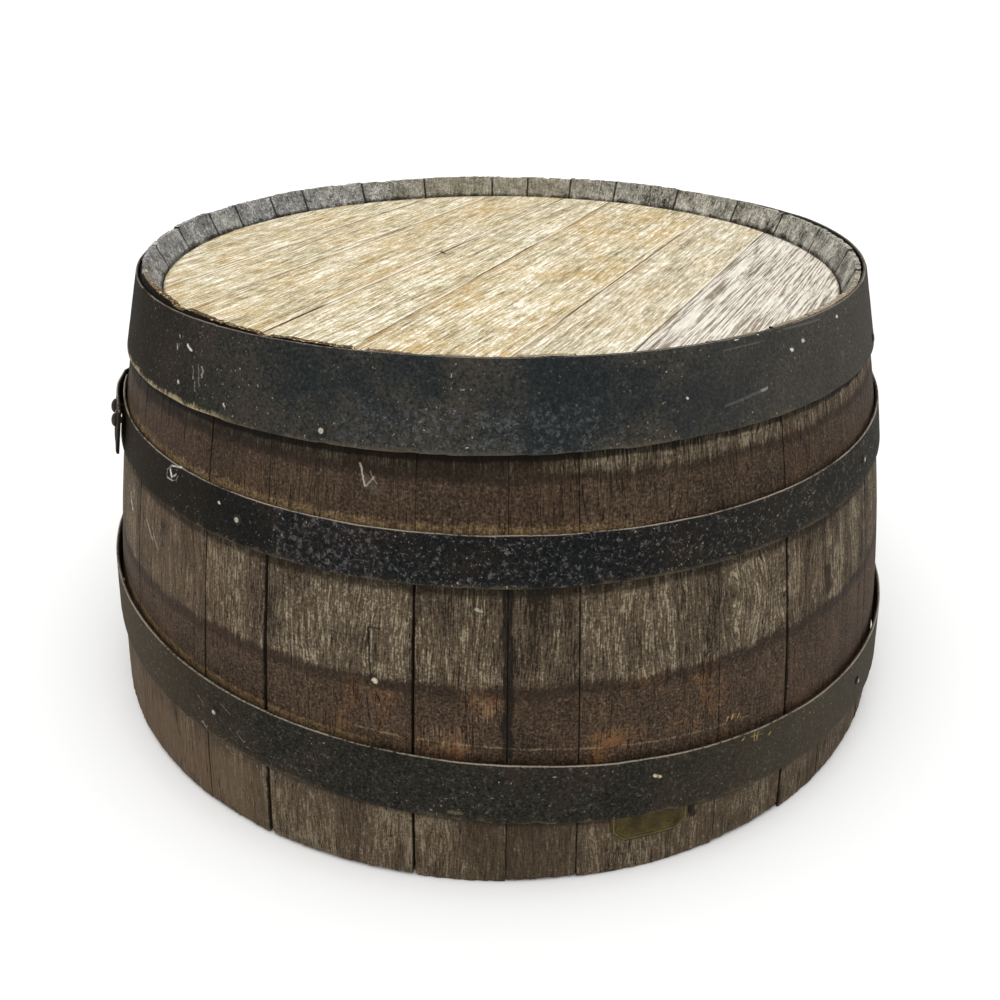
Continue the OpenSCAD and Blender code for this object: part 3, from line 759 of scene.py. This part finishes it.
def stave(number, paints):
    seed = 10 * number
    start, end = joint_at(number), joint_at(number + 1)
    width = np.radians(end - start) * barrel_r(0)
    across = spaced(width, STAVE_STEP)[None, :]
    share = across / width
    to_joint = np.minimum(across, width - across)
    tone = stave_tone(number)
    set_in = 0.7 * float(lattice(np.int64(number), np.int64(7), 9))
    sawn = 1.1 + noise(number * 3.7, 0, 90) + 0.5 * noise(across / 9, 0, seed) + rounding(to_joint, 1.5)
    chip_depth = 2.2 if start < -80 or start > 180 else 0.8
    chips = chip_depth * step_up(noise(across / 11, 0, seed + 4), 0.35, 0.8)
    short = 0.9 * (1 + noise(number * 2.3, 0, 91)) + 0.35
    top = BARREL_H - short - 0.3 * noise(across / 4, 0, seed + 5) - chips

    # The outside, from the sawn edge up
    k = np.linspace(0, 1, OUTER_ROWS)[:, None]
    z = blend(sawn, top, k)
    relief = stave_relief(across, z, seed, tone[2])
    nearer = np.where(across < width / 2, joint_gap(number, z), joint_gap(number + 1, z))
    drop = relief + set_in + rounding(to_joint / nearer, 0.6) * nearer
    drop = drop + rounding(z - sawn, 1.2) + rounding(top - z, 1.2)
    section = []

    def add(radii, heights):
        section.append(stacked(radii + 0 * across, heights))

    add(barrel_r(z) - drop, z)
    # The land, the bevelled chime and the croze
    for inset in LAND_SET:
        add(barrel_r(top) - set_in - inset + 0.3 * noise(across / 3, inset, seed + 6),
            top - 0.4 * noise(across / 5, inset, seed + 7) ** 2)
    head_corner_r = barrel_r(HEAD_Z) - CHIME_T
    land_r = barrel_r(BARREL_H) - LAND_W
    s = np.linspace(0, 1, BEVEL_ROWS + 1)[1:, None]
    rough = 0.4 * noise(across / 7, s * 4, seed + 8) + 0.25 * noise(across / 2.2, s * 3, seed + 9)
    rough = (np.abs(rough) + rounding(to_joint, 1.2)) * (1 - s ** 8)
    add(blend(land_r, head_corner_r, s) + rough, blend(top - 0.3, HEAD_Z, s))
    croze_r = barrel_r(CROZE_TOP) - CHIME_T
    for corner in ((croze_r, CROZE_TOP), (croze_r + CROZE_D, CROZE_TOP),
                   (croze_r + CROZE_D, CROZE_BOTTOM), (barrel_r(CROZE_BOTTOM) - CHIME_T, CROZE_BOTTOM)):
        add(*corner)
    # The howel and the inside, down to the sawn edge
    s = np.linspace(0, 1, INNER_ROWS)[:, None]
    z = blend(BARREL_H - HOWEL_H, sawn, s)
    dent = 0.3 * (1 + noise(across / 12, z / 40, seed + 3)) + rounding(to_joint, 0.8)
    add(barrel_r(z) - STAVE_T + dent, z)
    for inset in FOOT_INSETS:
        add(barrel_r(0) - inset, sawn + 0.25 * noise(across / 3, inset, seed + 4) + 0.25)

    radius, height = np.moveaxis(np.concatenate(section), -1, 0)
    height = np.maximum(height, 0)
    depth = barrel_r(height) - radius
    splinter = 0.25 * (1 + noise(height / 7, 0, seed + 6))
    gaps = [0.15 + (joint_gap(n, height) / 2 - 0.15) * np.exp(-depth / 9) * (0.8 + splinter)
            for n in (number, number + 1)]
    left = start + np.degrees(gaps[0] / radius)
    right = end - np.degrees(gaps[1] / radius)
    azimuth = blend(left, right, share)
    rows, cols = radius.shape
    depth[:OUTER_ROWS] = relief
    grain = stacked(across + number * 331.7, height + number * 517.3, depth)
    edge = stacked(to_joint, np.abs(top - height), np.abs(height - HEAD_Z))
    paint_rows = np.full(rows, 2)
    paint_rows[:OUTER_ROWS - 1] = 0
    paint_rows[OUTER_ROWS - 1:OUTER_ROWS + len(LAND_SET) + BEVEL_ROWS] = 1
    paint_rows[-len(FOOT_INSETS) - 1:] = 3
    faces = swept_faces(rows, cols) + end_caps(rows, cols)
    paint_of = np.append(np.repeat(paint_rows, cols - 1), [3, 3])
    node = f"stave_{number:02d}"
    points = polar(radius, azimuth, height)
    build("oak_" + node, node, points, faces, paints, paint_of, grain, edge, tone)


# ---------------- head
HEAD_R = barrel_r(CROZE_TOP) - CHIME_T + CROZE_D - 0.6
HEAD_FACE_R = barrel_r(HEAD_Z) - CHIME_T - 0.5
RIM_MARGIN = 0.4
BOARD_STEP = 1.5
BOARD_STEP_ALONG = 5


def board_edge(joint, side, radius):
    """The line y = a + b x of a board's edge; beyond the last joints it is a short chord of the rim."""
    if joint < 0:
        return RIM_MARGIN - radius, 0.0
    if joint >= len(BOARD_JOINTS):
        return radius - RIM_MARGIN, 0.0
    offset, turn = BOARD_JOINTS[joint]
    return offset + side * 0.2, math.tan(math.radians(turn))


def on_board(number, s, t, radius):
    """Place on a board's disc segment: s goes from 0 to 1 across it, t from -1 to 1 along it."""
    (a0, b0), (a1, b1) = board_edge(number - 2, 1, radius), board_edge(number - 1, -1, radius)
    a, b = blend(a0, a1, s), blend(b0, b1, s)
    root = np.sqrt(np.maximum((1 + b * b) * radius ** 2 - a * a, 0))
    x = (-a * b + t * root) / (1 + b * b)
    return x, a + b * x


def head_board(number, paints):
    seed = 700 + 10 * number
    light, warm, ridged = BOARD_TONES[number - 1]
    width = board_edge(number - 1, -1, HEAD_FACE_R)[0] - board_edge(number - 2, 1, HEAD_FACE_R)[0]
    s_line = spaced(width, BOARD_STEP) / width
    t_line = 2 * spaced(2 * HEAD_FACE_R, BOARD_STEP_ALONG) / (2 * HEAD_FACE_R) - 1
    s, t = np.meshgrid(s_line, t_line, indexing="ij")
    x, y = on_board(number, s, t, HEAD_FACE_R)
    low = s * width + 9 * (number == 1)
    high = (1 - s) * width + 9 * (number == len(BOARD_TONES))
    to_rim = HEAD_FACE_R - np.hypot(x, y)
    drift = (6 - 4 * ridged) * noise(y / 40, x / 170, seed)
    ridge = noise((y + drift) / 2.6, x / 110, seed + 1)
    fine = noise((y + drift) / 1.6, x / 30, seed + 2)
    drop = 0.2 * ridged * (1 + ridge) + 0.1 * (1 + fine) + 0.25 * (1 + noise(y / 50, x / 150, seed + 3))
    drop = drop + rounding(np.minimum(low, high), 0.7) + rounding(to_rim, 1.5)
    drop = drop + 0.35 * (1 + noise(number * 1.9, 0, 77))
    top_z = HEAD_Z - drop

    def points(xs, ys, zs):
        a = math.radians(BOARD_ANGLE)
        turned = stacked(xs * math.cos(a) - ys * math.sin(a), xs * math.sin(a) + ys * math.cos(a), zs)
        return turned.reshape(-1, 3)

    rows, cols = s.shape
    ring = border(rows, cols)
    all_points, all_faces, grains, edges, paint_of = [], [], [], [], []

    def add(xs, ys, zs, distance):
        all_points.append(points(xs, ys, zs))
        flat_x, flat_y = np.ravel(xs), np.ravel(ys)
        grains.append(np.stack([flat_y + number * 213.7, flat_x + number * 411.3, 0 * flat_x], -1))
        edges.append(stacked(*distance).reshape(-1, 3))

    add(x, y, top_z, (low, high, to_rim))
    all_faces += swept_faces(rows, cols, closed_rows=False)
    paint_of += [0] * len(all_faces)
    levels = [(HEAD_FACE_R, TONGUE_TOP), (HEAD_R, TONGUE_TOP), (HEAD_R, CROZE_BOTTOM + 0.2),
              (HEAD_R - CROZE_D, CROZE_BOTTOM + 0.2)]
    rings = [ring]
    for radius, z in levels:
        rings.append(sum(map(len, all_points)) + np.arange(len(ring)))
        level_x, level_y = on_board(number, s.ravel()[ring], t.ravel()[ring], radius)
        add(level_x, level_y, z, (9.0, 9.0, 0 * level_x))
    rings.append(sum(map(len, all_points)) + ring)
    under_x, under_y = on_board(number, s, t, HEAD_R - HEAD_BEVEL)
    first = sum(map(len, all_points))
    under_z = HEAD_Z - HEAD_T + 0.15 * (1 + noise(y / 8, x / 60, seed + 4))
    add(under_x, under_y, under_z, (9.0, 9.0, 9 + 0 * x))
    for upper, lower in zip(rings[:-1], rings[1:]):
        band = between(upper, lower)
        all_faces += band
        paint_of += [1] * len(band)
    under = swept_faces(rows, cols, closed_rows=False, first=first)
    all_faces += under
    paint_of += [1] * len(under)
    node = f"head_board_{number}"
    build("oak_" + node, node, np.concatenate(all_points), all_faces, paints, paint_of,
          np.concatenate(grains), np.concatenate(edges), (light, warm, ridged))


# ---------------- hoops
STRIP_CORNER = 0.55
ROWS_PER_DEGREE = 2.2


def on_hoop(hoop, azimuth, height, out):
    """Point on a hoop: height up from its middle line along its slope, and out from the staves' face."""
    slope = float(lean(hoop.z))
    a = np.radians(azimuth)
    tilt_x, tilt_y = np.radians(hoop.tilt)
    rise = barrel_r(hoop.z) * (math.sin(tilt_x) * np.sin(a) - math.sin(tilt_y) * np.cos(a))
    radius = barrel_r(hoop.z) - rise * math.tan(slope) - height * math.sin(slope) + out * math.cos(slope)
    z = hoop.z + rise + height * math.cos(slope) + out * math.sin(slope)
    return polar(radius, azimuth, z)


def strip_section(width):
    """Outline of the strip with rounded corners: heights and distances out from its inner face."""
    half, c = width / 2, STRIP_CORNER
    turn = np.radians([0, 30, 60, 90])
    flat = np.linspace(-half + c, half - c, int(width / 3.5))
    corners = []
    for middle_h, middle_o, first in ((half - c, HOOP_T - c, 90), (half - c, c, 0)):
        angle = np.radians(first) - turn
        corners.append((middle_h + c * np.cos(angle), middle_o + c * np.sin(angle)))
    (top_out_h, top_out_o), (top_in_h, top_in_o) = corners
    back = np.linspace(half - c, -half + c, 6)
    heights = np.concatenate([flat[1:-1], top_out_h, top_in_h, back[1:-1],
                              -top_in_h[::-1], -top_out_h[::-1]])
    outs = np.concatenate([0 * flat[1:-1] + HOOP_T, top_out_o, top_in_o, 0 * back[1:-1],
                           top_in_o[::-1], top_out_o[::-1]])
    return heights, outs


def hoop_layer(hoop, turned):
    """How far the strip's inner face lies out from the staves, by the angle turned from its inner end."""
    slit, jog = arc(SLIT_L, hoop.z), arc(JOG_L, hoop.z)
    return hoop.gap + (HOOP_T + LAP_GAP) * step_up(turned, 360 - slit - jog, 360 - slit)


def lap_lift(shape, turned):
    """How far the outer strip of the lap has sprung off the inner one, by the angle turned."""
    full = 360 + arc(LAP_L, shape.z)
    return shape.lifted_end * (0.65 * step_up(turned, 360 - arc(SLIT_L, shape.z), 360 + arc(25, shape.z))
                               + 0.35 * step_up(turned, full - arc(22, shape.z), full))


def hoop(shape, paint):
    seed = int(shape.z)
    covered = arc(LAP_L, shape.z)
    full = 360 + covered
    turned = np.linspace(0.15, full, int(full * ROWS_PER_DEGREE))[None, :]
    heights, outs = strip_section(shape.width / math.cos(lean(shape.z)))
    heights, outs = heights[:, None], outs[:, None]
    azimuth = shape.lap + turned
    along = np.radians(turned) * barrel_r(shape.z)
    half = heights.max()
    upward = heights / half
    nicks = step_up(noise(along / 9, 0, seed + 1), 0.1, 0.9)
    low_edge = 0.25 * noise(along / 17, 0, seed) + shape.rough_edge * nicks
    high_edge = -0.25 * (1 + noise(along / 24, 0, seed + 2)) - 0.1 * noise(along / 5, 0, seed + 3)
    height = heights + np.where(upward < 0, -upward * low_edge, upward * high_edge)
    dents = 0.22 * noise(along / 55, heights / 30, seed + 4)
    dents = dents + 0.07 * noise(along / 9, heights / 9, seed + 5)
    stand_off = shape.flare * (0.5 + 0.5 * upward) * (0.75 + 0.25 * noise(along / 160, 0, seed + 6))
    out = hoop_layer(shape, turned) + outs + np.abs(dents) * (outs > HOOP_T / 2) + stand_off
    out = out + lap_lift(shape, turned)
    points = on_hoop(shape, azimuth, height, out)
    points[..., 2] = np.minimum(points[..., 2], BARREL_H)
    rows, cols = height.shape[0], turned.shape[1]
    points = np.broadcast_to(points, (rows, cols, 3))
    grain = stacked(along, heights, outs)
    edge = stacked(half - heights, heights + half, 0 * along)
    faces = swept_faces(rows, cols) + end_caps(rows, cols)
    build("iron_" + shape.name, shape.name, points, faces, [paint], None, grain, edge)


# ---------------- fasteners
LATHE_STEPS = 20


def turned_part(profile, wobble, seed):
    """A lathe shape from (radius, height) pairs that start and end on its axis."""
    segments = LATHE_STEPS
    angle = np.linspace(0, 2 * np.pi, segments, endpoint=False)[None, :]
    radius = np.array([p[0] for p in profile[1:-1]])[:, None]
    height = np.array([p[1] for p in profile[1:-1]])[:, None]
    shaky = radius * (1 + wobble * noise(3 * np.cos(angle) + 5, 3 * np.sin(angle) + height, seed))
    body = stacked(shaky * np.cos(angle), shaky * np.sin(angle), height).reshape(-1, 3)
    tips = [[0, 0, profile[0][1]], [0, 0, profile[-1][1]]]
    rings, count = len(profile) - 2, len(body)
    faces = []
    for ring in range(rings - 1):
        for i in range(segments):
            j = (i + 1) % segments
            faces.append([ring * segments + i, ring * segments + j,
                          (ring + 1) * segments + j, (ring + 1) * segments + i])
    last = (rings - 1) * segments
    for i in range(segments):
        j = (i + 1) % segments
        faces.append([i, j, count])
        faces.append([last + i, last + j, count + 1])
    return np.concatenate([body, tips]), faces


def placed(points, shape, azimuth, height, out):
    """Moves a part from its own axes onto a hoop, with its Z square to the hoop."""
    origin = on_hoop(shape, azimuth, height, out)
    up = on_hoop(shape, azimuth, height + 1, out) - origin
    outward = on_hoop(shape, azimuth, height, out + 1) - origin
    side = np.cross(up, outward)
    return origin + points[:, :1] * side + points[:, 1:2] * up + points[:, 2:] * outward


def fasteners(node, shape, azimuths, height, out, profile, wobble, paint):
    """A group of equal fasteners in one hoop."""
    points, faces, grain, first = [], [], [], 0
    for number, azimuth in enumerate(azimuths):
        part, part_faces = turned_part(profile, wobble, 40 + number)
        points.append(placed(part, shape, azimuth, height, out))
        grain.append(stacked(np.hypot(part[:, 0], part[:, 1]), 0, 0))
        faces += [[first + i for i in face] for face in part_faces]
        first += len(part)
    build("iron_" + node, node, np.concatenate(points), faces, [paint], None, np.concatenate(grain))


def domed(radius, height, steps):
    """The curve of a dome from its rim to its top, without the top."""
    angles = np.radians(np.linspace(0, 90, steps, endpoint=False))
    return [(radius * math.cos(a), height * math.sin(a)) for a in angles]


def rivets(shape, paint):
    """Two rivets through both layers of the lap: domed outside, flush inside."""
    seat = shape.gap + 2 * HOOP_T + LAP_GAP + shape.flare / 2 + 0.1
    shank = [(0, shape.gap / 2 - seat), (2.5, shape.gap / 2 - seat), (2.5, -0.05)]
    head = [(5.0, -0.05), (5.5, 0.25)] + [(r, 0.3 + h) for r, h in domed(5.4, 2.9, 6)[1:]] + [(0, 3.2)]
    azimuths = [shape.lap + arc(RIVET_INSET + step, shape.z) for step in (0, RIVET_PITCH)]
    seat = seat + float(lap_lift(shape, 360 + arc(RIVET_INSET, shape.z)))
    fasteners(shape.name + "_rivets", shape, azimuths, 0, seat, shank + head, 0.05, paint)


def nails(shape, paint):
    """Nails with flat domed heads that keep the hoop from creeping up."""
    seat = shape.gap + HOOP_T + shape.flare / 2 + 0.1
    shank = [(0, -20), (0.5, -18.5), (1.4, -14), (1.4, -0.05)]
    head = [(3.2, -0.05), (3.5, 0.2)] + [(r, 0.4 + h) for r, h in domed(3.4, 1.1, 5)[1:]] + [(0, 1.5)]
    fasteners(shape.name + "_nails", shape, shape.nails_at, -shape.nail_drop, seat, shank + head, 0.07,
              paint)


# ---------------- brass plate
PLATE_GRID = (81, 101)


def plate_half_width(v):
    """Half the plate's width at a height from its middle; its clipped corners are a little rounded."""
    past = np.clip((np.abs(v) - (PLATE_H / 2 - PLATE_CLIP)) / PLATE_CLIP, 0, 1)
    return PLATE_W / 2 - PLATE_CLIP * past ** 1.25


def brass_plate(paint):
    lines = [np.linspace(-half, half, count) for half, count in zip((PLATE_H / 2, 1), PLATE_GRID)]
    v, u = np.meshgrid(*lines, indexing="ij")
    half = plate_half_width(v)
    x = u * half
    inset = np.minimum(half - np.abs(x), PLATE_H / 2 - np.abs(v))
    rim = step_up(inset, 1.2, 1.8) * step_up(inset, 3.0, 2.4)
    inner = step_up(inset, 4.2, 4.6) * step_up(inset, 5.6, 5.2)
    rays = step_up(inset, 6.0, 6.6) * (0.5 + 0.5 * np.cos(x * 2 * np.pi / 5)) * step_up(np.abs(v), 5, 9)
    raised = rim + 0.7 * inner + 0.45 * rays
    face = 0.15 + PLATE_T + 0.3 * raised + 0.1 * noise(x / 8, v / 8, 3) - 0.25 * rounding(inset, 1.0)
    z = PLATE_Z + v
    azimuth = PLATE_AT + np.degrees(x / barrel_r(z))
    front = polar(barrel_r(z) + face, azimuth, z)
    back = polar(barrel_r(z) + 0.15, azimuth, z)
    rows, cols = v.shape
    ring = border(rows, cols)
    faces = swept_faces(rows, cols, closed_rows=False)
    faces += swept_faces(rows, cols, closed_rows=False, first=rows * cols)
    faces += between(ring, ring + rows * cols)
    points = np.concatenate([front.reshape(-1, 3), back.reshape(-1, 3)])
    grain = stacked(0, v, raised).reshape(-1, 3)
    grain = np.concatenate([grain, grain * [1, 1, 0]])
    build("plate_of_brass", "brass_plate", points, faces, [paint], None, grain)


# ---------------- studio
def studio():
    """A plain pale floor, soft overhead light and the camera."""
    p = Paint("pale_floor")
    x, y, _ = p.locate()
    cloudy = p.noise(x / 900, y / 900, detail=2)
    p.colour = p.mix("#f4f4f3", "#f8f8f7", cloudy)
    floor_mesh = bpy.data.meshes.new("floor")
    corners = [(a * FLOOR_HALF, b * FLOOR_HALF, 0) for a, b in ((-1, -1), (1, -1), (1, 1), (-1, 1))]
    floor_mesh.from_pydata(corners, [], [[0, 1, 2, 3]])
    away = p.math("SQRT", x * x + y * y)
    floor_mesh.materials.append(p.finish(0.9, p.bump(cloudy, 0.1), specular=0.1,
                                         glow=p.ramp(away, *GLOW_RISES) * FLOOR_GLOW))
    add_object("floor", floor_mesh)

    world = bpy.data.worlds.new("studio")
    world.use_nodes = True
    sky = world.node_tree.nodes["Background"].inputs
    sky["Color"].default_value = (1, 1, 1, 1)
    sky["Strength"].default_value = SKY
    bpy.context.scene.world = world

    for name, place, size, power in SOFT_BOXES:
        light = bpy.data.lights.new(name, "AREA")
        light.shape = "DISK"
        light.size = size
        light.energy = power
        lamp = add_object(name, light)
        lamp.location = place
        lamp.rotation_euler = (Vector(LAMPS_AIM) - Vector(place)).to_track_quat("-Z", "Y").to_euler()

    camera = add_object("camera", bpy.data.cameras.new("camera"))
    camera.data.lens = LENS
    camera.data.sensor_width = SENSOR_W
    tilt = Matrix.Rotation(math.radians(90 - CAMERA_PITCH), 4, "X")
    roll = Matrix.Rotation(math.radians(CAMERA_ROLL), 4, "Z")
    camera.matrix_world = Matrix.Translation(CAMERA_PLACE) @ tilt @ roll
    bpy.context.scene.camera = camera
    bpy.context.scene.view_settings.view_transform = "Standard"


# ---------------- putting it together
studio()
stave_paints = [weathered_oak(), chime_oak(), inner_oak(), sawn_oak()]
for number in range(1, len(STAVE_WIDTHS) + 1):
    stave(number, stave_paints)
board_paints = [head_oak(), stave_paints[2]]
for number in range(1, len(BOARD_TONES) + 1):
    head_board(number, board_paints)
rivet_paint = small_iron("rivet_iron", "#1d1b19", "#3c3833", 5.6)
nail_paint = small_iron("nail_steel", "#8d877a", "#c4bfb1", 2.1)
hoop_paints = [
    hoop_iron(CHIME, "#1b1a16", "#45433d", (("#1c160e", 0.8), ("#5c5752", 0.25)),
              cold=0.6, speckled=0.15, top_line=0.6, foot_line=1.0),
    hoop_iron(QUARTER, "#090909", "#252422", (("#2d2519", 0.6), ("#504a40", 0.18)),
              cold=0.2, speckled=0.6, top_line=1.0, foot_line=0.0, smooth=(QUARTER.lap, -117)),
    hoop_iron(BILGE, "#12110d", "#35322a", (("#544735", 0.55), ("#6e6350", 0.25)),
              cold=0.1, speckled=0.3, top_line=1.0, foot_line=0.0)]
for shape, paint in zip(HOOPS, hoop_paints):
    hoop(shape, paint)
    rivets(shape, rivet_paint)
    nails(shape, nail_paint)
brass_plate(old_brass())
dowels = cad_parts["head_dowels"]
dowels.data.materials.clear()
dowels.data.materials.append(dowel_oak())
